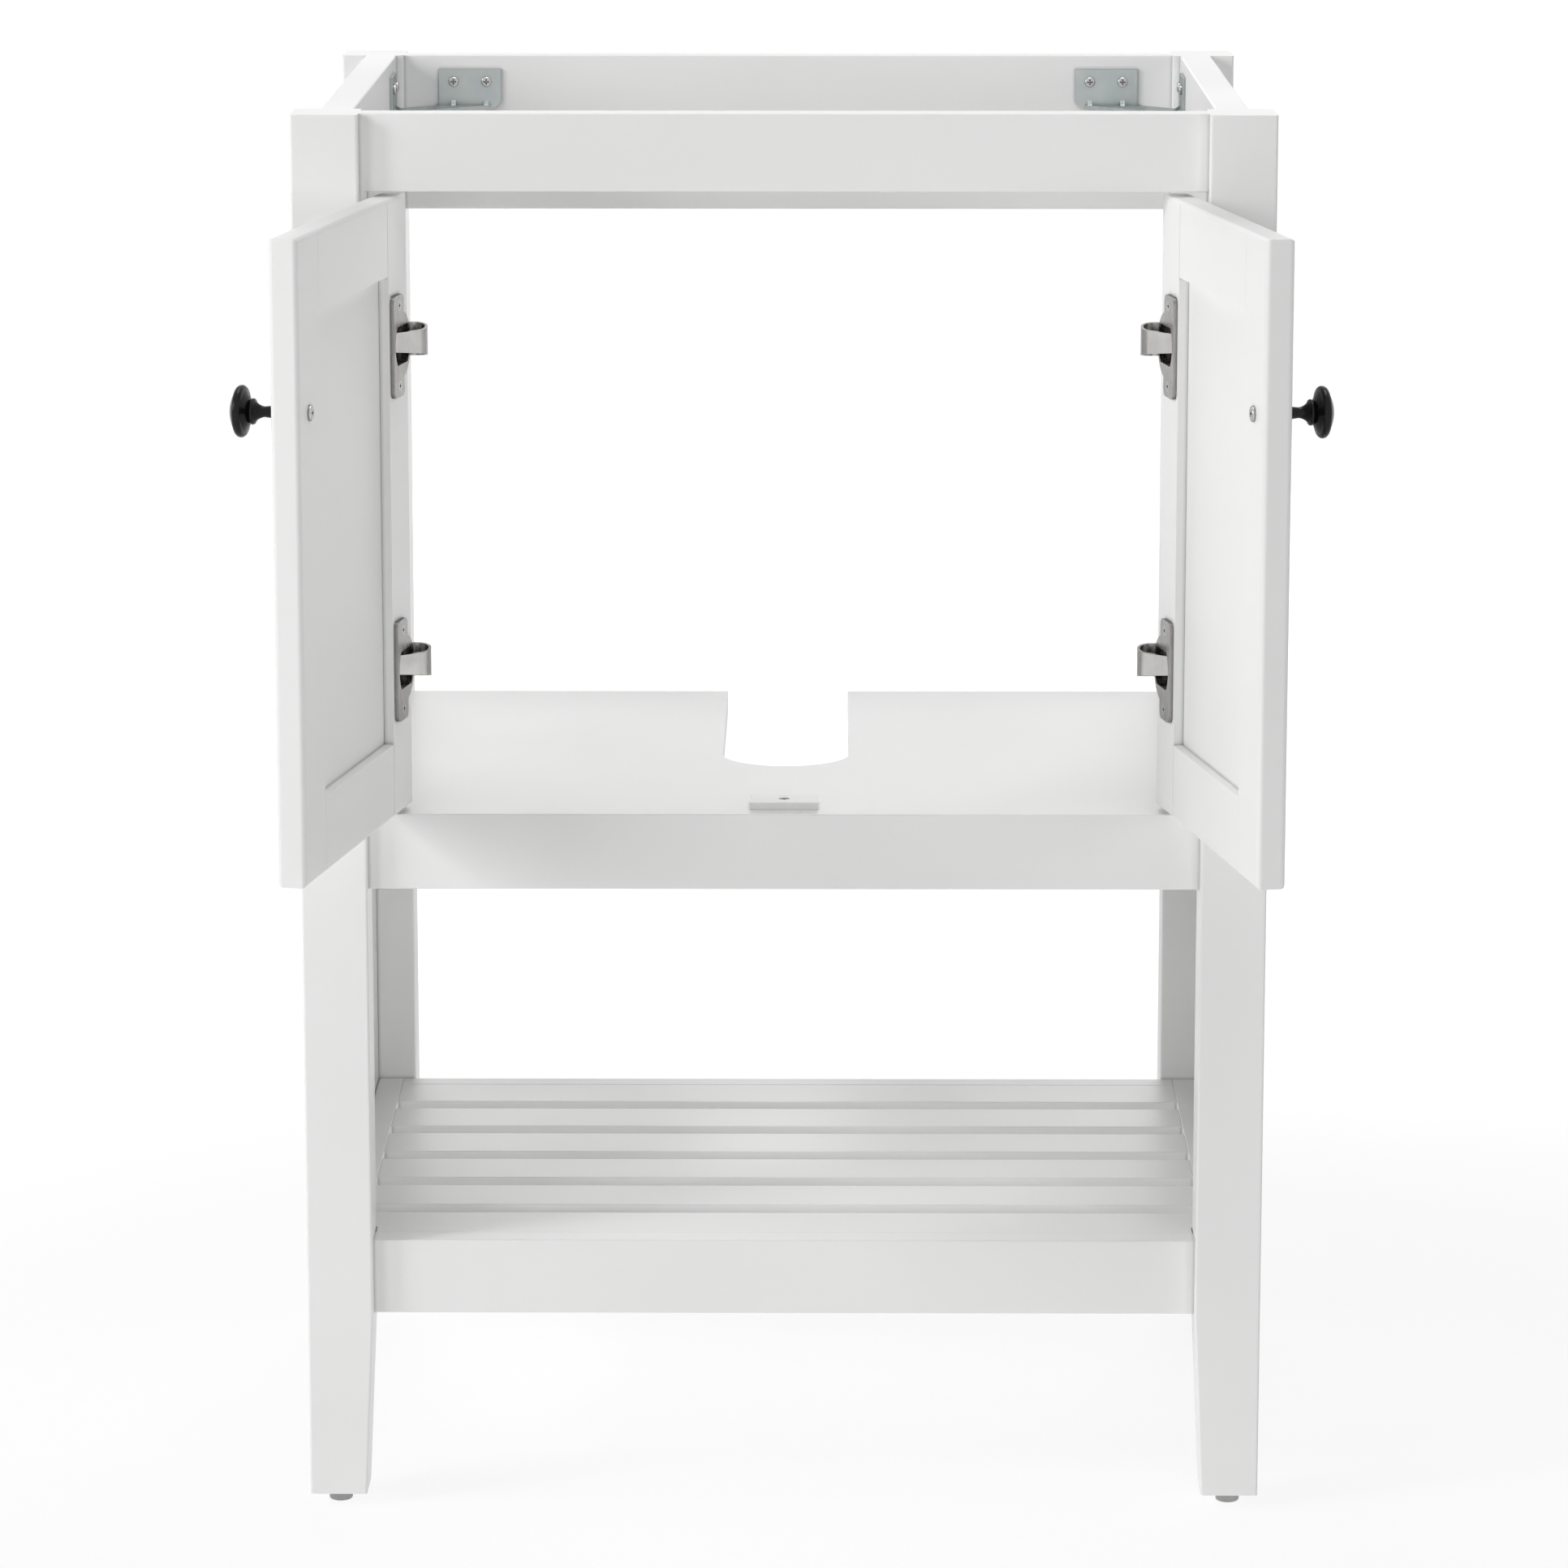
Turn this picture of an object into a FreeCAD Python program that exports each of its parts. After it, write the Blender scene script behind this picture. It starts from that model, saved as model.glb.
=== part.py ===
import FreeCAD, Part
import math
import os
from collections import defaultdict

Vec = FreeCAD.Vector
axis_x = Vec(1, 0, 0)
axis_y = Vec(0, 1, 0)
axis_z = Vec(0, 0, 1)

# A free-standing vanity cabinet for a separate basin, in millimetres.
# It is drawn with the front faces of the legs at Y = 0, the back at Y = depth and the floor at Z = 0.
# The right-hand pieces mirror the left-hand ones.

# Whole unit
width = 584.0
depth = 457.0
height = 858.0
open_angle = 100.5
overrun = 5.0
fit = 0.1

# Legs and their glides
leg_size = 40.0
leg_taper = 5.0
leg_edge_radius = 1.5
glide_height = 8.0
glide_diameter = 14.5
glide_edge_radius = 1.5
glide_nail_diameter = 2.5
glide_nail_length = 16.0

# Rails between the legs
rail_height = 46.5
rail_thickness = 18.0
rail_recess = 10.0
rail_edge_radius = 1.0
back_rail_height = 101.0
back_rail_thickness = 18.0
back_rail_recess = 4.0
side_rail_thickness = 20.0
side_rail_setback = 5.0

# Side panels, outside the side rails and housed in grooves in the legs
panel_thickness = 6.0
panel_drop = 12.0
panel_groove_depth = 8.0
panel_clearance = 0.2

# Door opening, and the cabinet floor with its plumbing notch
opening_height = 377.0
floor_thickness = 15.0
floor_leg_clearance = 0.5
cleat_height = 30.0
cleat_thickness = 20.0
notch_width = 80.0
notch_depth = 257.0

# Slatted shelf
shelf_top = 167.7
slat_count = 6
slat_width = 46.0
slat_thickness = 12.0
slat_edge_radius = 0.6
shelf_side_rail_thickness = 17.5
shelf_back_rail_thickness = 17.0

# Dowels
dowel_diameter = 8.0
dowel_length = 30.0
dowel_end_room = 0.5
front_dowel_shares = (0.25, 0.75)
back_dowel_shares = (0.2, 0.6)
side_dowel_share = 0.5

# Doors
door_recess = 6.5
door_thickness = 17.0
door_edge_radius = 3.0
door_side_gap = 2.5
door_middle_gap = 2.0
door_end_gap = 2.75
frame_width = 45.0
door_panel_thickness = 5.0
door_groove_depth = 4.0
door_panel_clearance = 0.2
tongue_shoulder = 8.0
joint_groove = 0.6
stop_gap = 0.5
stop_width = 41.0
stop_length = 24.0
stop_height = 4.5
stop_edge_radius = 0.6

# Hinges: one pin in a cup let into the door, and an arm on the leg
hinge_inset = 88.0
pin_inset = 14.5
pin_depth = 7.0
pin_diameter = 3.0
pin_running_clearance = 0.05
pin_seat_clearance = 0.02
eye_wall = 1.7
cup_diameter = 35.0
cup_wall = 1.0
cup_floor_gap = 1.3
cup_bore_clearance = 0.15
cup_window_height = 23.0
flange_thickness = 2.5
flange_height = 61.0
flange_width = 23.5
flange_rim = 2.0
flange_corner_radius = 4.5
flange_screw_spacing = 48.0
flange_screw_offset = 6.0
arm_lean = 20.0
arm_front_height = 11.3
arm_back_height = 20.5
arm_sheet = 1.6
arm_cup_clearance = 0.6
arm_swing_clearance = 1.1
arm_corner_radius = 8.0
arm_plate_height = 50.0
arm_plate_width = 12.0
arm_plate_lead = 7.5
arm_plate_corner_radius = 3.0
arm_plate_screw_spacing = 36.0

# Knobs, by radius and by height above the door face
knob_screw_drop = 101.0
knob_height = 29.0
knob_head_radius = 15.0
knob_rim_height = 22.8
knob_rim_radius = 2.6
knob_head_base_height = 17.3
knob_collar_radius = 6.2
knob_collar_base_height = 14.6
knob_neck_radius = 3.1
knob_neck_height = 9.0
knob_foot_radius = 4.2
knob_screw_hole_depth = 9.0
knob_screw_head_diameter = 9.2

# Corner brackets under the basin
bracket_drop = 9.0
bracket_height = 25.5
bracket_flange_length = 40.5
bracket_corner_offset = 28.0
bracket_sheet = 2.0
bracket_bend_radius = 1.5
bracket_hole_diameter = 6.0
bracket_screw_drop = 8.3
bracket_screw_margin = 9.5
bracket_corner_clip = 4.0
gusset_reach = 4.5
gusset_width = 3.0

# Screws
screw_head_diameter = 6.6
screw_head_height = 1.8
screw_head_edge_radius = 1.0
flat_head_height = 1.6
screw_shank_diameter = 3.5
screw_length = 12.0
screw_end_room = 0.5
cross_length = 3.6
cross_width = 0.9
cross_depth = 1.0
machine_screw_room = 2.0

# Places worked out from the sizes above
inner_x = width / 2 - leg_size
rear_y = depth - leg_size
side_rail_x = inner_x + side_rail_setback
panel_inner_x = side_rail_x + side_rail_thickness
panel_outer_x = panel_inner_x + panel_thickness
shelf_side_x = panel_inner_x - shelf_side_rail_thickness
front_rail_back_y = rail_recess + rail_thickness
back_rail_y = rear_y + back_rail_recess
top_rail_bottom = height - rail_height
floor_top = top_rail_bottom - opening_height
floor_bottom = floor_top - floor_thickness
shelf_bottom = shelf_top - rail_height
shelf_back_y = rear_y - shelf_back_rail_thickness
slat_gap = (shelf_back_y - front_rail_back_y - slat_count * slat_width) / (slat_count - 1)
panel_top = height - panel_drop

door_left_x = -inner_x + door_side_gap
door_width = inner_x - door_side_gap - door_middle_gap / 2
door_right_x = door_left_x + door_width
door_back_y = door_recess + door_thickness
door_bottom = floor_top + door_end_gap
door_top = top_rail_bottom - door_end_gap
stile_inner_x = door_left_x + frame_width
free_stile_x = door_right_x - frame_width
door_middle_y = door_recess + door_thickness / 2
panel_low_z = door_bottom + frame_width
panel_high_z = door_top - frame_width

pin_radius = pin_diameter / 2
eye_radius = pin_radius + eye_wall
pin_x = door_left_x + pin_inset
pin_y = door_back_y - pin_depth
hinge_heights = (door_bottom + hinge_inset, door_top - hinge_inset)
cup_radius = cup_diameter / 2
cup_inner_radius = cup_radius - cup_wall
cup_depth = pin_depth + eye_radius + cup_floor_gap + cup_wall
cup_x = door_left_x + frame_width / 2
cup_offset = cup_x - pin_x
knob_x = door_right_x - frame_width / 2
knob_z = door_top - knob_screw_drop
stop_y = door_back_y + stop_gap
screw_head_radius = screw_head_diameter / 2
screw_shank_radius = screw_shank_diameter / 2
dowel_radius = dowel_diameter / 2

sided = {}
middle = {}
door = {}
fasteners = defaultdict(list)
door_fasteners = defaultdict(list)
cutters = defaultdict(list)


def box(x, y, z):
    return Part.makeBox(x[1] - x[0], y[1] - y[0], z[1] - z[0], Vec(x[0], y[0], z[0]))


def rod(radius, start, end):
    line = end - start
    return Part.makeCylinder(radius, line.Length, start, line)


def prism(points, travel):
    face = Part.Face(Part.makePolygon(points + points[:1]))
    return face.extrude(travel)


def mirrored(shape):
    return shape.mirror(Vec(0, 0, 0), axis_x)


def both(shape):
    return [shape, mirrored(shape)]


def runs_along(edge, axis):
    ends = [vertex.Point for vertex in edge.Vertexes]
    if len(ends) < 2:
        return False
    line = ends[1] - ends[0]
    near_parallel_share = 0.99
    return abs(line.dot(axis)) > near_parallel_share * line.Length


def ease(shape, radius, pick):
    edges = [edge for edge in shape.Edges if pick(edge)]
    return shape.makeFillet(radius, edges)


def eased_bar(x, y, z, axis, radius):
    return ease(box(x, y, z), radius, lambda edge: runs_along(edge, axis))


def placed(shape, point, outward):
    copy = shape.copy()
    copy.Placement = FreeCAD.Placement(point, FreeCAD.Rotation(axis_z, outward))
    return copy


def cross_slots(top):
    slot = (-cross_length / 2, cross_length / 2)
    blade = (-cross_width / 2, cross_width / 2)
    sink = (top - cross_depth, top + overrun)
    return [box(slot, blade, sink), box(blade, slot, sink)]


def pan_screw(length, head_diameter):
    head = Part.makeCylinder(head_diameter / 2, screw_head_height)
    head = ease(head, screw_head_edge_radius, lambda edge: edge.CenterOfMass.z > screw_head_height / 2)
    shank = rod(screw_shank_radius, Vec(0, 0, 0), Vec(0, 0, -length))
    return head.fuse(shank).removeSplitter().cut(cross_slots(screw_head_height))


def flat_head(clearance):
    """The cone of a sunk screw head, its top at Z = 0."""
    narrow = screw_shank_radius + clearance
    wide = screw_head_radius + clearance
    return Part.makeCone(narrow, wide, flat_head_height, Vec(0, 0, -flat_head_height))


def flat_screw(length):
    shank = rod(screw_shank_radius, Vec(0, 0, -flat_head_height), Vec(0, 0, -length))
    return flat_head(0).fuse(shank).removeSplitter().cut(cross_slots(0))


def screw_hole(point, outward, length):
    tip = point - outward * (length + screw_end_room)
    return rod(screw_shank_radius + fit, point + outward * overrun, tip)


def add_dowel(point, axis, *pieces):
    half = axis * (dowel_length / 2)
    room = axis * dowel_end_room
    hole = rod(dowel_radius + fit, point - half - room, point + half + room)
    for piece in pieces:
        cutters[piece].append(hole)
    fasteners["dowels"] += both(rod(dowel_radius, point - half, point + half))


def rounded_outline(x, y, z, radius):
    """A closed rectangle at height z with rounded corners."""
    right, left = x[1] - radius, x[0] + radius
    back, front = y[1] - radius, y[0] + radius
    quarter_turn = 90
    arcs = []
    for step, centre in enumerate([(right, back), (left, back), (left, front), (right, front)]):
        start = step * quarter_turn
        arcs.append(Part.makeCircle(radius, Vec(*centre, z), axis_z, start, start + quarter_turn))
    edges = []
    for arc, following in zip(arcs, arcs[1:] + arcs[:1]):
        edges += [arc, Part.makeLine(arc.lastVertex().Point, following.firstVertex().Point)]
    return Part.Wire(edges)


def make_leg(outer_y, inner_y):
    """A square leg, tapered on its two inner faces below the shelf."""
    outer_x = -width / 2
    turn = 1 if inner_y > outer_y else -1
    sections = []
    for z, taper in ((glide_height, leg_taper), (shelf_bottom, 0), (height, 0)):
        y = sorted((outer_y, inner_y - turn * taper))
        sections.append(rounded_outline((outer_x, -inner_x - taper), y, z, leg_edge_radius))
    leg = Part.makeLoft(sections, True, True)
    groove_x = (-panel_outer_x - panel_clearance, -panel_inner_x + panel_clearance)
    groove_y = sorted((inner_y - turn * panel_groove_depth, inner_y + turn * overrun))
    groove = box(groove_x, groove_y, (shelf_bottom, panel_top + panel_clearance))
    return leg.cut(groove)


def make_glide(outer_y, inner_y):
    """A round nail-in glide under the middle of a leg's foot."""
    turn = 1 if inner_y > outer_y else -1
    foot_x = (-width / 2 - inner_x - leg_taper) / 2
    foot_y = (outer_y + inner_y - turn * leg_taper) / 2
    disc = rod(glide_diameter / 2, Vec(foot_x, foot_y, 0), Vec(foot_x, foot_y, glide_height))
    disc = ease(disc, glide_edge_radius, lambda edge: edge.CenterOfMass.z < glide_height / 2)
    base = Vec(foot_x, foot_y, glide_height)
    tip = base + axis_z * glide_nail_length
    hole = rod(glide_nail_diameter / 2 + fit, base - axis_z * overrun, tip + axis_z * dowel_end_room)
    glide = disc.fuse(rod(glide_nail_diameter / 2, base, tip)).removeSplitter()
    return glide, hole


def make_front_rail(top):
    """A rail eased along its front edges and square at the back, where the floor or a slat meets it."""
    rail = box((-inner_x, inner_x), (rail_recess, front_rail_back_y), (top - rail_height, top))

    def on_front(edge):
        return runs_along(edge, axis_x) and abs(edge.CenterOfMass.y - rail_recess) < fit

    return ease(rail, rail_edge_radius, on_front)


def make_floor():
    panel = box((-panel_inner_x, panel_inner_x), (front_rail_back_y, rear_y), (floor_bottom, floor_top))
    tall = (floor_bottom - overrun, floor_top + overrun)
    corner_y = (front_rail_back_y - overrun, leg_size + floor_leg_clearance)
    corner = box((-panel_inner_x - overrun, -inner_x + floor_leg_clearance), corner_y, tall)
    round_y = rear_y - notch_depth + notch_width / 2
    straight = box((-notch_width / 2, notch_width / 2), (round_y, rear_y + overrun), tall)
    end = rod(notch_width / 2, Vec(0, round_y, tall[0]), Vec(0, round_y, tall[1]))
    return panel.cut(both(corner) + [straight.fuse(end)])


def make_slat(index):
    y = front_rail_back_y + index * (slat_width + slat_gap)
    span = (-shelf_side_x, shelf_side_x)
    rise = (shelf_top - slat_thickness, shelf_top)
    slat = eased_bar(span, (y, y + slat_width), rise, axis_x, slat_edge_radius)
    clear = leg_size + floor_leg_clearance
    corner_z = (shelf_bottom, shelf_top + overrun)
    corner = box((-width / 2, -inner_x + floor_leg_clearance), (0, clear), corner_z)
    return slat.cut(both(corner))


def make_bracket(wall_y, turn):
    """A diagonal plate across a top corner, with a screwed flange turned up against each rail."""
    wall_x = -side_rail_x
    low = height - bracket_drop - bracket_height
    high = low + bracket_height
    near = bracket_corner_offset
    far = near + bracket_flange_length
    clipped = far - bracket_corner_clip

    def at(along_x, along_y, z):
        return Vec(wall_x + along_x, wall_y + turn * along_y, z)

    plate_outline = [at(0, clipped, low), at(0, near, low), at(near, 0, low), at(clipped, 0, low)]
    plate = prism(plate_outline, axis_z * bracket_sheet)
    clip_top = low + bracket_corner_clip
    flange_outline = [(near, low), (clipped, low), (far, clip_top), (far, high), (near, high)]
    side_flange = prism([at(0, along, z) for along, z in flange_outline], axis_x * bracket_sheet)
    end_flange = prism([at(along, 0, z) for along, z in flange_outline], axis_y * (turn * bracket_sheet))
    bracket = plate.fuse([side_flange, end_flange]).removeSplitter()

    def on_bend(edge):
        middle_point = edge.CenterOfMass
        at_side = abs(middle_point.x - wall_x) < fit and runs_along(edge, axis_y)
        at_end = abs(middle_point.y - wall_y) < fit and runs_along(edge, axis_x)
        return abs(middle_point.z - low) < fit and (at_side or at_end)

    bracket = ease(bracket, bracket_bend_radius, on_bend)
    gusset_base = low + bracket_sheet
    wedge = [(0, gusset_base), (bracket_sheet + gusset_reach, gusset_base), (0, gusset_base + gusset_reach)]
    gussets = []
    places = []
    for along in (near + bracket_screw_margin, far - bracket_screw_margin):
        start = along - gusset_width / 2
        side_wedge = [at(out, start, z) for out, z in wedge]
        end_wedge = [at(start, out, z) for out, z in wedge]
        gussets.append(prism(side_wedge, axis_y * (turn * gusset_width)))
        gussets.append(prism(end_wedge, axis_x * gusset_width))
        places.append((at(bracket_sheet, along, high - bracket_screw_drop), axis_x))
        places.append((at(along, bracket_sheet, high - bracket_screw_drop), axis_y * turn))
    bracket = bracket.fuse(gussets).removeSplitter()
    hole_reach = (near + far) / 4
    hole_point = at(hole_reach, hole_reach, low)
    hole = rod(bracket_hole_diameter / 2, hole_point - axis_z * overrun, hole_point + axis_z * overrun)
    holes = [screw_hole(point, outward, screw_length) for point, outward in places]
    return bracket.cut([hole] + holes), places, holes


def hinge_corner_reach():
    """How far the rounded front corner of the door's hinge edge swings from the pin."""
    along = pin_inset - door_edge_radius
    across = door_thickness - pin_depth - door_edge_radius
    return math.hypot(along, across) + door_edge_radius


def make_arm(z):
    """The hinge arm: an eye round the pin, a gooseneck past the door's edge and a plate on the leg."""
    back = hinge_corner_reach() + arm_swing_clearance
    root = back + arm_sheet
    height_slope = (arm_back_height - arm_front_height) / (root + eye_radius)

    def half_height(y):
        return (arm_front_height + (y + eye_radius) * height_slope) / 2

    cup_room = cup_inner_radius - arm_cup_clearance
    reach = cup_offset + math.sqrt(cup_room ** 2 - half_height(pin_depth + flange_thickness) ** 2)
    plate_x = -inner_x - pin_x + arm_sheet
    lean = math.radians(arm_lean)
    eye_inside = eye_radius - arm_sheet
    inside = reach - arm_sheet
    outline = [
        (eye_radius * math.sin(lean), -eye_radius * math.cos(lean)),
        (reach, reach * math.tan(lean) - eye_radius / math.cos(lean)),
        (reach, root),
        (plate_x, root),
        (plate_x, back),
        (inside, back),
        (inside, inside * math.tan(lean) - eye_inside / math.cos(lean)),
        (eye_inside * math.sin(lean), -eye_inside * math.cos(lean)),
    ]
    points = [Vec(pin_x + x, pin_y + y, z - arm_back_height / 2) for x, y in outline]
    neck = prism(points, axis_z * arm_back_height)

    def outer_corner(edge):
        return runs_along(edge, axis_z) and abs(edge.CenterOfMass.x - pin_x - reach) < fit

    def inner_corner(edge):
        return runs_along(edge, axis_z) and abs(edge.CenterOfMass.x - pin_x - inside) < fit

    neck = ease(neck, arm_corner_radius, outer_corner)
    neck = ease(neck, arm_corner_radius - arm_sheet, inner_corner)
    front_y = -eye_radius - overrun
    back_y = root + overrun
    taper = [
        (front_y, -half_height(front_y)),
        (back_y, -half_height(back_y)),
        (back_y, half_height(back_y)),
        (front_y, half_height(front_y)),
    ]
    taper_points = [Vec(-inner_x, pin_y + y, z + rise) for y, rise in taper]
    neck = neck.common(prism(taper_points, axis_x * (pin_x + reach + inner_x + overrun)))
    plate_y = pin_y + back - arm_plate_lead
    plate = ease(
        box(
            (-inner_x, -inner_x + arm_sheet),
            (plate_y, plate_y + arm_plate_width),
            (z - arm_plate_height / 2, z + arm_plate_height / 2),
        ),
        arm_plate_corner_radius,
        lambda edge: runs_along(edge, axis_x),
    )
    low_point = Vec(pin_x, pin_y, z - arm_front_height / 2)
    high_point = low_point + axis_z * arm_front_height
    eye = rod(eye_radius, low_point, high_point)
    pin_hole = rod(
        pin_radius + pin_running_clearance,
        low_point - axis_z * overrun,
        high_point + axis_z * overrun,
    )
    places = []
    for rise in (-arm_plate_screw_spacing / 2, arm_plate_screw_spacing / 2):
        places.append((Vec(-inner_x + arm_sheet, plate_y + arm_plate_width / 2, z + rise), axis_x))
    holes = [screw_hole(point, outward, screw_length) for point, outward in places]
    arm = neck.fuse([plate, eye]).removeSplitter().cut([pin_hole] + holes)
    return arm, places, holes


def make_cup(z):
    """A cast cup with a flange on the door's back, holding the hinge pin across its window."""
    face = Vec(cup_x, door_back_y, z)
    floor = face - axis_y * cup_depth
    top = face + axis_y * flange_thickness
    flange_end_x = cup_x + cup_radius + flange_rim
    flange = eased_bar(
        (flange_end_x - flange_width, flange_end_x),
        (door_back_y, door_back_y + flange_thickness),
        (z - flange_height / 2, z + flange_height / 2),
        axis_y,
        flange_corner_radius,
    )
    disc = rod(cup_radius + flange_rim, face, top)
    bowl = rod(cup_radius, floor, face)
    shell = flange.fuse([disc, bowl]).removeSplitter()
    window = box(
        (cup_x - cup_radius, cup_x + cup_radius),
        (door_back_y - cup_depth, door_back_y + flange_thickness + overrun),
        (z - cup_window_height / 2, z + cup_window_height / 2),
    )
    hollow = rod(cup_inner_radius, floor + axis_y * cup_wall, top + axis_y * overrun).common(window)
    half = math.sqrt(cup_radius ** 2 - (cup_offset + pin_radius) ** 2)
    pin_middle = Vec(pin_x, pin_y, z)
    pin = rod(pin_radius, pin_middle - axis_z * half, pin_middle + axis_z * half)
    seat = rod(
        pin_radius + pin_seat_clearance,
        pin_middle - axis_z * (half + overrun),
        pin_middle + axis_z * (half + overrun),
    )
    places = []
    for rise in (-flange_screw_spacing / 2, flange_screw_spacing / 2):
        places.append((top + Vec(flange_screw_offset, 0, rise), axis_y))
    holes = [screw_hole(point, outward, screw_length) for point, outward in places]
    sinks = [placed(flat_head(fit), point, outward) for point, outward in places]
    pocket = rod(cup_radius + cup_bore_clearance, floor - axis_y * cup_bore_clearance, top)
    return shell.cut([hollow, seat] + holes + sinks), pin, places, holes, pocket


def make_stile(x, outer_x, inner_x_side):
    """An upright of the door frame with a stopped groove for the panel and the rails' tongues."""
    stile = box(x, (door_recess, door_back_y), (door_bottom, door_top))

    def on_rim(edge):
        point = edge.CenterOfMass
        on_face = min(abs(point.y - door_recess), abs(point.y - door_back_y)) < fit
        at_end = min(abs(point.z - door_bottom), abs(point.z - door_top)) < fit
        return on_face and (at_end or abs(point.x - outer_x) < fit)

    stile = ease(stile, door_edge_radius, on_rim)
    turn = 1 if inner_x_side > outer_x else -1
    groove_x = sorted((inner_x_side - turn * door_groove_depth, inner_x_side + turn * overrun))
    groove_z = (door_bottom + tongue_shoulder, door_top - tongue_shoulder)
    return stile.cut(box(groove_x, groove_span(), groove_z))


def groove_span():
    half = door_panel_thickness / 2 + fit
    return (door_middle_y - half, door_middle_y + half)


def tongue_span():
    half = door_panel_thickness / 2
    return (door_middle_y - half, door_middle_y + half)


def make_cross_rail(outer_z, inner_z):
    """A top or bottom rail of the door frame, grooved for the panel and tongued into the stiles."""
    z = sorted((outer_z, inner_z))
    turn = 1 if inner_z > outer_z else -1
    rail = box((stile_inner_x, free_stile_x), (door_recess, door_back_y), z)

    def on_rim(edge):
        return runs_along(edge, axis_x) and abs(edge.CenterOfMass.z - outer_z) < fit

    rail = ease(rail, door_edge_radius, on_rim)
    for x, along in ((stile_inner_x, joint_groove), (free_stile_x, -joint_groove)):
        for y, across in ((door_recess, joint_groove), (door_back_y, -joint_groove)):
            corner = [Vec(x, y, z[0]), Vec(x + along, y, z[0]), Vec(x, y + across, z[0])]
            rail = rail.cut(prism(corner, axis_z * (z[1] - z[0])))
    groove_z = sorted((inner_z - turn * door_groove_depth, inner_z + turn * overrun))
    rail = rail.cut(box((stile_inner_x - overrun, free_stile_x + overrun), groove_span(), groove_z))
    reach = door_groove_depth - door_panel_clearance
    tongue_z = sorted((outer_z + turn * tongue_shoulder, inner_z - turn * door_groove_depth))
    tongue = box((stile_inner_x - reach, free_stile_x + reach), tongue_span(), tongue_z)
    return rail.fuse(tongue).removeSplitter()


def make_knob():
    """A turned knob: a domed head, a collar, a flared neck and a small foot against the door."""
    head_side_height = knob_rim_height + knob_rim_radius
    rim_inner = knob_head_radius - knob_rim_radius
    dome_rise = knob_height - head_side_height
    dome_radius = (rim_inner ** 2 + dome_rise ** 2) / (2 * dome_rise)
    dome_middle = rim_inner / 2
    dome_height = knob_height - dome_radius + math.sqrt(dome_radius ** 2 - dome_middle ** 2)
    flare_share = 0.38
    flare_radius = knob_neck_radius + (knob_collar_radius - knob_neck_radius) * flare_share
    flare_rise_share = 0.62
    flare_height = knob_neck_height + (knob_collar_base_height - knob_neck_height) * flare_rise_share
    collar_middle = (knob_collar_base_height + knob_head_base_height) / 2
    collar_bulge = knob_collar_radius + (knob_head_base_height - knob_collar_base_height) / 2
    back_rim = knob_rim_height - knob_rim_radius

    def at(radius, rise):
        return Vec(radius, 0, rise)

    edges = [
        Part.makeLine(at(0, 0), at(knob_foot_radius, 0)),
        Part.makeLine(at(knob_foot_radius, 0), at(knob_neck_radius, knob_neck_height)),
        Part.Arc(
            at(knob_neck_radius, knob_neck_height),
            at(flare_radius, flare_height),
            at(knob_collar_radius, knob_collar_base_height),
        ).toShape(),
        Part.Arc(
            at(knob_collar_radius, knob_collar_base_height),
            at(collar_bulge, collar_middle),
            at(knob_collar_radius, knob_head_base_height),
        ).toShape(),
        Part.makeLine(at(knob_collar_radius, knob_head_base_height), at(rim_inner, back_rim)),
        Part.Arc(
            at(rim_inner, back_rim),
            at(knob_head_radius, knob_rim_height),
            at(rim_inner, head_side_height),
        ).toShape(),
        Part.Arc(
            at(rim_inner, head_side_height),
            at(dome_middle, dome_height),
            at(0, knob_height),
        ).toShape(),
        Part.makeLine(at(0, knob_height), at(0, 0)),
    ]
    full_turn = 360
    turned = Part.Face(Part.Wire(edges)).revolve(Vec(0, 0, 0), axis_z, full_turn)
    return placed(turned, Vec(knob_x, door_recess, knob_z), -axis_y)


# Legs, glides and their holes
for row, outer_y, inner_y in (("front", 0, leg_size), ("rear", depth, rear_y)):
    sided[f"leg_{row}"] = make_leg(outer_y, inner_y)
    glide, nail_hole = make_glide(outer_y, inner_y)
    cutters[f"leg_{row}"].append(nail_hole)
    fasteners["foot_glides"] += both(glide)

# Rails across the front and back
front_rails = {"top_front_rail": height, "floor_front_rail": floor_top, "shelf_front_rail": shelf_top}
for name, top in front_rails.items():
    middle[name] = make_front_rail(top)
    for share in front_dowel_shares:
        point = Vec(-inner_x, rail_recess + rail_thickness / 2, top - rail_height + share * rail_height)
        add_dowel(point, axis_x, "leg_front", name)
middle["top_back_rail"] = eased_bar(
    (-inner_x, inner_x),
    (back_rail_y, back_rail_y + back_rail_thickness),
    (height - back_rail_height, height),
    axis_x,
    rail_edge_radius,
)
for share in back_dowel_shares:
    rise = height - back_rail_height + share * back_rail_height
    add_dowel(Vec(-inner_x, back_rail_y + back_rail_thickness / 2, rise), axis_x, "leg_rear", "top_back_rail")

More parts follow.
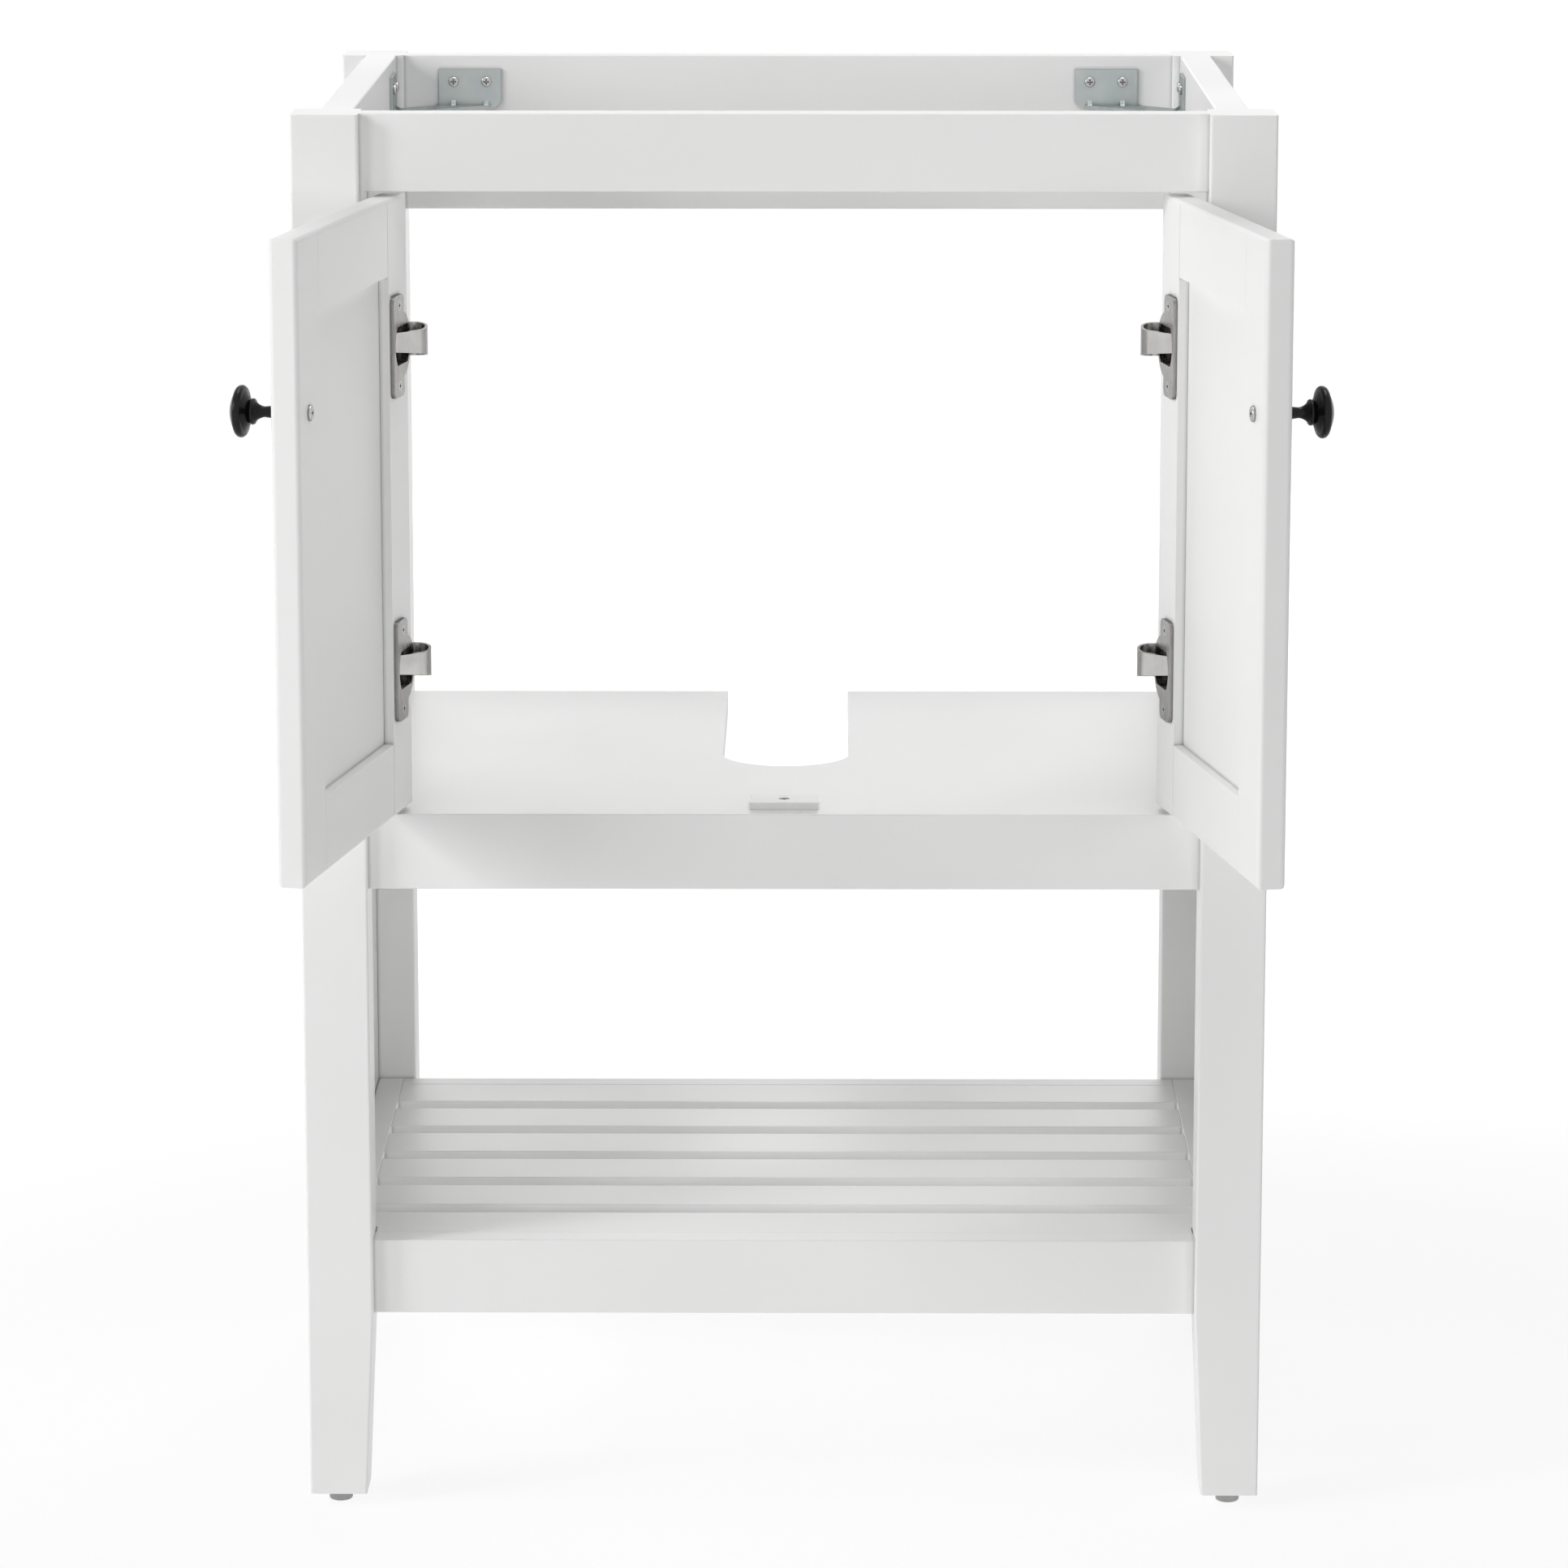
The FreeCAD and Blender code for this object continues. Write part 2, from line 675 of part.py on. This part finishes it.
# Side panels and the rails and cleats inside them
leg_gap = (leg_size, rear_y)
sided["side_panel"] = box(
    (-panel_outer_x, -panel_inner_x),
    (leg_size - panel_groove_depth + panel_clearance, rear_y + panel_groove_depth - panel_clearance),
    (shelf_bottom, panel_top),
)
side_rails = (
    ("top_side_rail", height, side_rail_x),
    ("shelf_side_rail", shelf_top, shelf_side_x),
)
for name, top, inside in side_rails:
    low = top - rail_height
    sided[name] = eased_bar((-panel_inner_x, -inside), leg_gap, (low, top), axis_y, rail_edge_radius)
    for y, leg in ((leg_size, "leg_front"), (rear_y, "leg_rear")):
        point = Vec(-(panel_inner_x + inside) / 2, y, low + side_dowel_share * rail_height)
        add_dowel(point, axis_y, leg, name)
sided["floor_cleat"] = box(
    (-panel_inner_x, -panel_inner_x + cleat_thickness),
    leg_gap,
    (floor_bottom - cleat_height, floor_bottom),
)
middle["floor_panel"] = make_floor()

# Slatted shelf
middle["shelf_back_rail"] = eased_bar(
    (-shelf_side_x, shelf_side_x), (shelf_back_y, rear_y), (shelf_bottom, shelf_top), axis_x, rail_edge_radius
)
for share in front_dowel_shares:
    point = Vec(-shelf_side_x, (shelf_back_y + rear_y) / 2, shelf_bottom + share * rail_height)
    add_dowel(point, axis_x, "shelf_side_rail", "shelf_back_rail")
for index in range(slat_count):
    name = f"shelf_slat_{index + 1}"
    middle[name] = make_slat(index)
    slat_y = front_rail_back_y + index * (slat_width + slat_gap) + slat_width / 2
    add_dowel(Vec(-shelf_side_x, slat_y, shelf_top - slat_thickness / 2), axis_x, "shelf_side_rail", name)

# Corner brackets
wood_screw = pan_screw(screw_length, screw_head_diameter)
brackets = (
    ("corner_bracket_front", front_rail_back_y, 1, "top_front_rail"),
    ("corner_bracket_back", back_rail_y, -1, "top_back_rail"),
)
for name, wall_y, turn, rail in brackets:
    sided[name], places, holes = make_bracket(wall_y, turn)
    cutters["top_side_rail"] += holes
    cutters[rail] += holes
    for point, outward in places:
        fasteners["wood_screws"] += both(placed(wood_screw, point, outward))

# Door stop on the cabinet floor, with its screw head let in
stop = box(
    (-stop_width / 2, stop_width / 2),
    (stop_y, stop_y + stop_length),
    (floor_top, floor_top + stop_height),
)
stop = ease(stop, stop_edge_radius, lambda edge: edge.CenterOfMass.z > floor_top + stop_height - fit)
stop_seat = Vec(0, stop_y + stop_length / 2, floor_top + stop_height - screw_head_height - screw_end_room)
sink = rod(screw_head_radius + fit, stop_seat, stop_seat + axis_z * (stop_height + overrun))
stop_hole = screw_hole(stop_seat, axis_z, screw_length)
middle["door_stop"] = stop.cut([sink, stop_hole])
middle["floor_panel"] = middle["floor_panel"].cut(stop_hole)
fasteners["wood_screws"].append(placed(wood_screw, stop_seat, axis_z))

# Left door, drawn closed
door["hinge_stile"] = make_stile((door_left_x, stile_inner_x), door_left_x, stile_inner_x)
door["free_stile"] = make_stile((free_stile_x, door_right_x), door_right_x, free_stile_x)
door["top_rail"] = make_cross_rail(door_top, panel_high_z)
door["bottom_rail"] = make_cross_rail(door_bottom, panel_low_z)
panel_reach = door_groove_depth - door_panel_clearance
door["panel"] = box(
    (stile_inner_x - panel_reach, free_stile_x + panel_reach),
    tongue_span(),
    (panel_low_z - panel_reach, panel_high_z + panel_reach),
)
for z, level in zip(hinge_heights, ("lower", "upper")):
    arm, arm_places, arm_holes = make_arm(z)
    sided[f"hinge_arm_{level}"] = arm
    cutters["leg_front"] += arm_holes
    for point, outward in arm_places:
        fasteners["wood_screws"] += both(placed(wood_screw, point, outward))
    cup, pin, cup_places, cup_holes, pocket = make_cup(z)
    door[f"hinge_cup_{level}"] = cup
    door_fasteners["hinge_pins"].append(pin)
    cutters["hinge_stile"] += cup_holes + [pocket]
    for point, outward in cup_places:
        door_fasteners["cup_screws"].append(placed(flat_screw(screw_length), point, outward))
knob_seat = Vec(knob_x, door_back_y, knob_z)
knob_screw_length = door_thickness + knob_screw_hole_depth - machine_screw_room
knob_hole = rod(
    screw_shank_radius + fit,
    knob_seat + axis_y * overrun,
    knob_seat - axis_y * (door_thickness + knob_screw_hole_depth),
)
door["knob"] = make_knob().cut(knob_hole)
knob_screw = pan_screw(knob_screw_length, knob_screw_head_diameter)
door_fasteners["knob_screw"].append(placed(knob_screw, knob_seat, axis_y))
cutters["free_stile"].append(knob_hole)

# All nodes, the doors swung open
nodes = {}
for name, shape in middle.items():
    holes = [hole for cutter in cutters[name] for hole in both(cutter)]
    nodes[name] = shape.cut(holes) if holes else shape
for name, shape in sided.items():
    whole = shape.cut(cutters[name]) if cutters[name] else shape
    nodes[f"{name}_left"] = whole
    nodes[f"{name}_right"] = mirrored(whole)
for name, shapes in fasteners.items():
    nodes[name] = Part.makeCompound(shapes)
for name, shape in door.items():
    door_fasteners[name] = [shape.cut(cutters[name]) if cutters[name] else shape]
for name, shapes in door_fasteners.items():
    swung = Part.makeCompound(shapes)
    swung.rotate(Vec(pin_x, pin_y, 0), axis_z, -open_angle)
    nodes[f"door_left_{name}"] = swung
    nodes[f"door_right_{name}"] = mirrored(swung)

# The origin is on the floor, under the middle of the cabinet
os.makedirs("parts", exist_ok=True)
for name, shape in nodes.items():
    shape.translate(Vec(0, -depth / 2, 0))
    shape.exportStep(f"parts/{name}.step")
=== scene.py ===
import math
import bpy
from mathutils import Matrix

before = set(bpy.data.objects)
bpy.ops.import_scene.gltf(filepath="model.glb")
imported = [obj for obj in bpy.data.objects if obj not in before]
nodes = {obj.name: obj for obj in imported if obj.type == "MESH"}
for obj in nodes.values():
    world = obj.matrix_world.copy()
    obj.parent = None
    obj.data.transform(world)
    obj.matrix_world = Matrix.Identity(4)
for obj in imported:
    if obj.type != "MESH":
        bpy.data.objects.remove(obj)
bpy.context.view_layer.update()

scene = bpy.context.scene
scene.view_settings.view_transform = "Standard"
bpy.ops.object.select_all(action="DESELECT")
print("loaded", len(nodes), "nodes")

noiseRange = (0.3, 0.7)  # most values of a noise lie between these
edgeRange = (1.0, 0.85)  # cosine between the plain and the rounded normal, on a flat and on an edge
maskSamples = 4


def newMaterial(name):
    material = bpy.data.materials.new(name)
    material.use_nodes = True
    tree = material.node_tree
    return material, tree, tree.nodes["Principled BSDF"]


def addNode(tree, kind, inputs=(), **settings):
    node = tree.nodes.new(kind)
    for name, value in settings.items():
        setattr(node, name, value)
    for name, value in dict(inputs).items():
        node.inputs[name].default_value = value
    return node


def join(tree, source, target):
    tree.links.new(source, target)


def grey(level):
    return (level, level, level, 1.0)


def objectCoords(tree, scale=(1, 1, 1), turn=0.0):
    coords = addNode(tree, "ShaderNodeTexCoord")
    mapping = addNode(tree, "ShaderNodeMapping", {"Scale": scale, "Rotation": (0, 0, turn)})
    join(tree, coords.outputs["Object"], mapping.inputs["Vector"])
    return mapping.outputs["Vector"]


def noise(tree, vector, detail, scale=1.0):
    node = addNode(tree, "ShaderNodeTexNoise", {"Scale": scale, "Detail": detail})
    join(tree, vector, node.inputs["Vector"])
    return node.outputs["Fac"]


def mapRange(tree, value, source=(0.0, 1.0), target=(0.0, 1.0), **settings):
    limits = dict(zip(("From Min", "From Max", "To Min", "To Max"), (*source, *target)))
    node = addNode(tree, "ShaderNodeMapRange", limits, **settings)
    join(tree, value, node.inputs["Value"])
    return node.outputs["Result"]


def spread(tree, value, low=0.0, high=1.0):
    return mapRange(tree, value, noiseRange, (low, high))


def mixColours(tree, factor, first, second):
    node = addNode(tree, "ShaderNodeMix", data_type="RGBA")
    join(tree, factor, node.inputs["Factor"])
    sockets = [s for s in node.inputs if s.type == "RGBA"]
    for socket, value in zip(sockets, (first, second)):
        if isinstance(value, tuple):
            socket.default_value = (*value, 1.0)
        else:
            join(tree, value, socket)
    return next(s for s in node.outputs if s.type == "RGBA")


def bump(tree, shader, height, distance, strength, under=None):
    node = addNode(tree, "ShaderNodeBump", {"Distance": distance, "Strength": strength})
    join(tree, height, node.inputs["Height"])
    if under:
        join(tree, under, node.inputs["Normal"])
    join(tree, node.outputs["Normal"], shader.inputs["Normal"])
    return node.outputs["Normal"]


# 1 on a rounded edge, 0 on a flat face: the mask that places painted highlights along the edges
def paintedHighlightMask(tree, radius):
    rounded = addNode(tree, "ShaderNodeBevel", {"Radius": radius}, samples=maskSamples)
    plain = addNode(tree, "ShaderNodeNewGeometry")
    facing = addNode(tree, "ShaderNodeVectorMath", operation="DOT_PRODUCT")
    join(tree, rounded.outputs["Normal"], facing.inputs[0])
    join(tree, plain.outputs["Normal"], facing.inputs[1])
    return mapRange(tree, facing.outputs["Value"], edgeRange)


# 0 deep in a crease, 1 in the open: the mask that places painted shade in creases, hollows and joints
def paintedShadeMask(tree, distance, limits):
    node = addNode(tree, "ShaderNodeAmbientOcclusion", {"Distance": distance}, samples=maskSamples)
    return mapRange(tree, node.outputs["AO"], limits)


def dress(tree, shader, colour, roughness):
    join(tree, colour, shader.inputs["Base Color"])
    join(tree, roughness, shader.inputs["Roughness"])


# white satin paint on wood; the grain only shows through as a faint ripple
paint = {
    "tone": (0.90, 0.90, 0.895),
    "shade": (0.865, 0.865, 0.86),
    "cloudScale": 5.0,
    "cloudDetail": 3.0,
    # painted highlight: rounded edges are lightened towards this tone
    "paintedEdgeHighlight": (0.93, 0.93, 0.925),
    "edgeReach": 0.0012,
    # painted shade: creases and joints between parts are darkened towards this tone
    "paintedCreaseShade": (0.48, 0.48, 0.475),
    "creaseReach": 0.0025,
    "creaseRange": (0.3, 0.95),
    "roughness": (0.34, 0.46),
    "grainAcross": 210.0,
    "grainAlong": 6.0,
    "grainDetail": 2.0,
    "rippleDepth": 0.00005,
    "peelScale": 850.0,
    "peelDetail": 1.0,
    "peelDepth": 0.00003,
    "bumpStrength": 0.5,
}


def paintedWood(name, along, turn=0.0):
    material, tree, shader = newMaterial(name)
    stretch = [paint["grainAlong" if axis == along else "grainAcross"] for axis in "xyz"]
    grain = noise(tree, objectCoords(tree, stretch, turn), paint["grainDetail"])
    plainCoords = objectCoords(tree)
    cloud = noise(tree, plainCoords, paint["cloudDetail"], paint["cloudScale"])
    peel = noise(tree, plainCoords, paint["peelDetail"], paint["peelScale"])
    body = mixColours(tree, spread(tree, cloud), paint["shade"], paint["tone"])
    # painted highlight lightens the rounded edges
    highlighted = mixColours(tree, paintedHighlightMask(tree, paint["edgeReach"]), body, paint["paintedEdgeHighlight"])
    # painted shade darkens the creases and the joints between parts
    clear = paintedShadeMask(tree, paint["creaseReach"], paint["creaseRange"])
    colour = mixColours(tree, clear, paint["paintedCreaseShade"], highlighted)
    dress(tree, shader, colour, spread(tree, cloud, *paint["roughness"]))
    ripple = bump(tree, shader, grain, paint["rippleDepth"], paint["bumpStrength"])
    bump(tree, shader, peel, paint["peelDepth"], paint["bumpStrength"], ripple)
    return material


# plated metals: fine brushing, cloudy tint, and painted shade in the recesses that also stands in for dark
# reflections
plating = {
    "cloudScale": 60.0,
    "cloudDetail": 4.0,
    "brushDetail": 2.0,
    "brushDepth": 0.00002,
    "bumpStrength": 0.4,
}
metals = {
    "nickel": {
        "tone": (0.56, 0.55, 0.535), "tint": (0.45, 0.44, 0.43), "paintedRecessShade": (0.05, 0.049, 0.047), "rim": 0.55,
        "roughness": (0.2, 0.34), "brush": (900.0, 900.0, 40.0), "hollow": 0.006, "paintedRecessShadeRange": (0.35, 0.92),
    },
    "zinc": {
        "tone": (0.53, 0.565, 0.55), "tint": (0.47, 0.515, 0.52), "paintedRecessShade": (0.24, 0.255, 0.255), "rim": 0.7,
        "roughness": (0.28, 0.44), "brush": (500.0, 500.0, 60.0), "hollow": 0.005, "paintedRecessShadeRange": (0.15, 0.8),
    },
    "screwSteel": {
        "tone": (0.60, 0.60, 0.59), "tint": (0.50, 0.50, 0.49), "paintedRecessShade": (0.05, 0.05, 0.05), "rim": 0.7,
        "roughness": (0.22, 0.36), "brush": (1200.0, 1200.0, 1200.0), "hollow": 0.003,
        "paintedRecessShadeRange": (0.3, 0.9),
    },
}


def platedMetal(name):
    look = metals[name]
    material, tree, shader = newMaterial(name)
    cloud = noise(tree, objectCoords(tree), plating["cloudDetail"], plating["cloudScale"])
    brushed = noise(tree, objectCoords(tree, look["brush"]), plating["brushDetail"])
    body = mixColours(tree, spread(tree, cloud), look["tint"], look["tone"])
    # painted shade: hollows and joints darken towards the darkest colour, standing in for shade and dark
    # reflections
    clear = paintedShadeMask(tree, look["hollow"], look["paintedRecessShadeRange"])
    colour = mixColours(tree, clear, look["paintedRecessShade"], body)
    dress(tree, shader, colour, spread(tree, brushed, *look["roughness"]))
    shader.inputs["Metallic"].default_value = 1.0
    shader.inputs["Specular Tint"].default_value = grey(look["rim"])
    bump(tree, shader, brushed, plating["brushDepth"], plating["bumpStrength"])
    return material


# knobs: satin black enamel, with a painted sheen that lightens the rims a little
enamel = {
    "tone": (0.003, 0.003, 0.0033),
    "cloud": (0.006, 0.006, 0.0063),
    "cloudScale": 90.0,
    "cloudDetail": 4.0,
    # painted sheen: the rims are lightened towards this tone
    "rimSheen": (0.014, 0.014, 0.014),
    "rimSheenReach": 0.0008,
    "roughness": (0.16, 0.24),
    "shine": 0.22,
    "speckleScale": 1600.0,
    "speckleDetail": 2.0,
    "speckleDepth": 0.00003,
    "bumpStrength": 0.4,
}


def blackEnamel():
    material, tree, shader = newMaterial("blackEnamel")
    plainCoords = objectCoords(tree)
    cloud = noise(tree, plainCoords, enamel["cloudDetail"], enamel["cloudScale"])
    speckle = noise(tree, plainCoords, enamel["speckleDetail"], enamel["speckleScale"])
    body = mixColours(tree, spread(tree, cloud), enamel["tone"], enamel["cloud"])
    # painted sheen lightens the rims
    colour = mixColours(tree, paintedHighlightMask(tree, enamel["rimSheenReach"]), body, enamel["rimSheen"])
    dress(tree, shader, colour, spread(tree, cloud, *enamel["roughness"]))
    shader.inputs["Specular IOR Level"].default_value = enamel["shine"]
    bump(tree, shader, speckle, enamel["speckleDepth"], enamel["bumpStrength"])
    return material


# moulded plastics of the glides and the door stop
moulding = {
    "cloudScale": 70.0,
    "cloudDetail": 3.0,
    "grainScale": 1400.0,
    "grainDetail": 2.0,
    "grainDepth": 0.00004,
    "bumpStrength": 0.5,
}
plastics = {
    "glidePlastic": {"tone": (0.42, 0.42, 0.42), "cloud": (0.33, 0.33, 0.33), "roughness": (0.42, 0.6)},
    "stopPlastic": {"tone": (0.84, 0.84, 0.83), "cloud": (0.78, 0.78, 0.77), "roughness": (0.3, 0.45)},
}


def mouldedPlastic(name):
    look = plastics[name]
    material, tree, shader = newMaterial(name)
    plainCoords = objectCoords(tree)
    cloud = noise(tree, plainCoords, moulding["cloudDetail"], moulding["cloudScale"])
    grain = noise(tree, plainCoords, moulding["grainDetail"], moulding["grainScale"])
    colour = mixColours(tree, spread(tree, cloud), look["cloud"], look["tone"])
    dress(tree, shader, colour, spread(tree, cloud, *look["roughness"]))
    bump(tree, shader, grain, moulding["grainDepth"], moulding["bumpStrength"])
    return material


# bare beech of the dowels
beech = {
    "tone": (0.55, 0.38, 0.22),
    "fleck": (0.42, 0.27, 0.14),
    "roughness": (0.5, 0.7),
    "grain": (60.0, 600.0, 600.0),
    "grainDetail": 4.0,
    "grainDepth": 0.00006,
    "bumpStrength": 0.5,
}


def bareBeech():
    material, tree, shader = newMaterial("bareBeech")
    grain = noise(tree, objectCoords(tree, beech["grain"]), beech["grainDetail"])
    colour = mixColours(tree, spread(tree, grain), beech["fleck"], beech["tone"])
    dress(tree, shader, colour, spread(tree, grain, *beech["roughness"]))
    bump(tree, shader, grain, beech["grainDepth"], beech["bumpStrength"])
    return material


doorAngle = math.radians(100.5)  # how far the doors stand open, so that their rails' grain turns with them
finishes = {
    "upright": paintedWood("paintUpright", "z"),
    "across": paintedWood("paintAcross", "x"),
    "deep": paintedWood("paintDeep", "y"),
    "leftRail": paintedWood("paintLeftDoorRail", "x", doorAngle),
    "rightRail": paintedWood("paintRightDoorRail", "x", -doorAngle),
    "nickel": platedMetal("nickel"),
    "zinc": platedMetal("zinc"),
    "screwSteel": platedMetal("screwSteel"),
    "knob": blackEnamel(),
    "glide": mouldedPlastic("glidePlastic"),
    "stop": mouldedPlastic("stopPlastic"),
    "dowel": bareBeech(),
}
# a node takes the finish of the first of these words that its name holds
finishWords = [
    ("floor_panel", "across"), ("_panel", "upright"), ("hinge_stile", "upright"), ("free_stile", "upright"),
    ("door_left_top_rail", "leftRail"), ("door_left_bottom_rail", "leftRail"),
    ("door_right_top_rail", "rightRail"), ("door_right_bottom_rail", "rightRail"),
    ("side_rail", "deep"), ("cleat", "deep"),
    ("slat", "across"), ("front_rail", "across"), ("back_rail", "across"), ("leg_", "upright"),
    ("hinge_arm", "nickel"), ("hinge_cup", "nickel"), ("hinge_pins", "nickel"),
    ("bracket", "zinc"), ("screw", "screwSteel"), ("_knob", "knob"), ("glides", "glide"),
    ("door_stop", "stop"), ("dowels", "dowel"),
]
for name, node in nodes.items():
    finish = next(finish for word, finish in finishWords if word in name)
    node.data.materials.clear()
    node.data.materials.append(finishes[finish])
print("finished", len(nodes), "nodes with", len(finishes), "materials")


# 1 for what the camera sees, also through a reflection, and 0 for the light that falls on the unit
def seenDirectly(tree):
    path = addNode(tree, "ShaderNodeLightPath")
    seen = path.outputs["Is Camera Ray"]
    for ray in ("Is Glossy Ray", "Is Transmission Ray"):
        either = addNode(tree, "ShaderNodeMath", operation="MAXIMUM")
        join(tree, seen, either.inputs[0])
        join(tree, path.outputs[ray], either.inputs[1])
        seen = either.outputs["Value"]
    return seen


# stage: pale floor that reads white to the camera and keeps the soft shadow
stage = {
    "size": 80.0,
    "reach": (0.55, 1.5),
    "nearGlow": 0.86,
    "farGlow": 1.0,
    "nearAlbedo": 0.17,
    "bounce": 0.9,
    "upGlow": 0.21,
}


def glowingMatte(tree, level):
    matte = addNode(tree, "ShaderNodeBsdfDiffuse", {"Color": grey(level)})
    glow = addNode(tree, "ShaderNodeEmission")
    both = addNode(tree, "ShaderNodeAddShader")
    join(tree, matte.outputs[0], both.inputs[0])
    join(tree, glow.outputs[0], both.inputs[1])
    return both.outputs[0], glow.inputs["Strength"]


def makeFloor():
    bpy.ops.mesh.primitive_plane_add(size=stage["size"], location=(0, 0, 0))
    floor = bpy.context.object
    floor.name = "studioFloor"
    material, tree, shader = newMaterial("studioFloor")
    tree.nodes.remove(shader)
    coords = addNode(tree, "ShaderNodeTexCoord")
    away = addNode(tree, "ShaderNodeVectorMath", operation="LENGTH")
    join(tree, coords.outputs["Object"], away.inputs[0])
    fade = mapRange(tree, away.outputs["Value"], stage["reach"], interpolation_type="SMOOTHSTEP")
    seen, seenGlow = glowingMatte(tree, stage["nearAlbedo"])
    join(tree, mapRange(tree, fade, target=(stage["nearGlow"], stage["farGlow"])), seenGlow)
    unseen, unseenGlow = glowingMatte(tree, stage["bounce"])
    unseenGlow.default_value = stage["upGlow"]
    chosen = addNode(tree, "ShaderNodeMixShader")
    join(tree, seenDirectly(tree), chosen.inputs["Fac"])
    join(tree, unseen, chosen.inputs[1])
    join(tree, seen, chosen.inputs[2])
    join(tree, chosen.outputs[0], tree.nodes["Material Output"].inputs["Surface"])
    floor.data.materials.append(material)


makeFloor()

# soft studio light: two keys to the left, far lights in front, weak ones to the right, above and behind;
# only the mirrored ones show in glossy surfaces
lights = {
    "key": {"place": (-4.3, -1.6, 2.2), "size": 1.8, "power": 50.0, "mirrored": True},
    "keyHigh": {"place": (-3.6, -1.9, 2.7), "size": 0.9, "power": 44.0, "mirrored": False},
    "frontLeft": {"place": (-5.0, -6.0, 1.7), "size": 2.2, "power": 98.0, "mirrored": False},
    "frontMiddle": {"place": (0.2, -7.5, 0.9), "size": 2.0, "power": 20.0, "mirrored": False},
    "frontRight": {"place": (3.6, -6.6, 1.0), "size": 2.0, "power": 75.0, "mirrored": False},
    "right": {"place": (4.6, -0.6, 1.5), "size": 2.2, "power": 14.0, "mirrored": False},
    "over": {"place": (0.1, -0.1, 2.3), "size": 0.9, "power": 10.0, "mirrored": True},
    "rear": {"place": (0.0, 3.6, 1.3), "size": 2.6, "power": 48.0, "mirrored": False},
    "rearShine": {"place": (0.0, 3.3, 1.3), "size": 2.6, "power": 14.0, "mirrored": True},
}
lightAim = (0.0, 0.0, 0.5)


def makeLight(name):
    look = lights[name]
    lamp = bpy.data.lights.new(name, "AREA")
    lamp.energy = look["power"]
    lamp.size = look["size"]
    holder = bpy.data.objects.new(name, lamp)
    scene.collection.objects.link(holder)
    holder.visible_camera = False
    holder.visible_glossy = look["mirrored"]
    holder.location = look["place"]
    aim = [a - p for a, p in zip(lightAim, look["place"])]
    level = math.hypot(aim[0], aim[1])
    holder.rotation_euler = (math.atan2(level, -aim[2]), 0, math.atan2(-aim[0], aim[1]))


for name in lights:
    makeLight(name)

# white sky that gives the unit only a little light
skyStrength = {"light": 0.08, "seen": 1.0}
world = bpy.data.worlds.new("studioSky")
scene.world = world
world.use_nodes = True
skyTree = world.node_tree
sky = skyTree.nodes["Background"]
sky.inputs["Color"].default_value = grey(1.0)
skyLevel = mapRange(skyTree, seenDirectly(skyTree), target=(skyStrength["light"], skyStrength["seen"]))
join(skyTree, skyLevel, sky.inputs["Strength"])
print("stage and lights ready")

# camera at the photograph's viewpoint
shot = {
    "place": (0.0245, -3.9385, 1.204),
    "pitch": 11.409,
    "yaw": 0.376,
    "lens": 144.15,
    "sensor": 36.0,
    "clipEnd": 200.0,
}
camera = bpy.data.objects.new("camera", bpy.data.cameras.new("camera"))
scene.collection.objects.link(camera)
camera.location = shot["place"]
camera.rotation_euler = (math.radians(90 - shot["pitch"]), 0, math.radians(shot["yaw"]))
camera.data.lens = shot["lens"]
camera.data.sensor_width = shot["sensor"]
camera.data.clip_end = shot["clipEnd"]
scene.camera = camera
print("camera set")
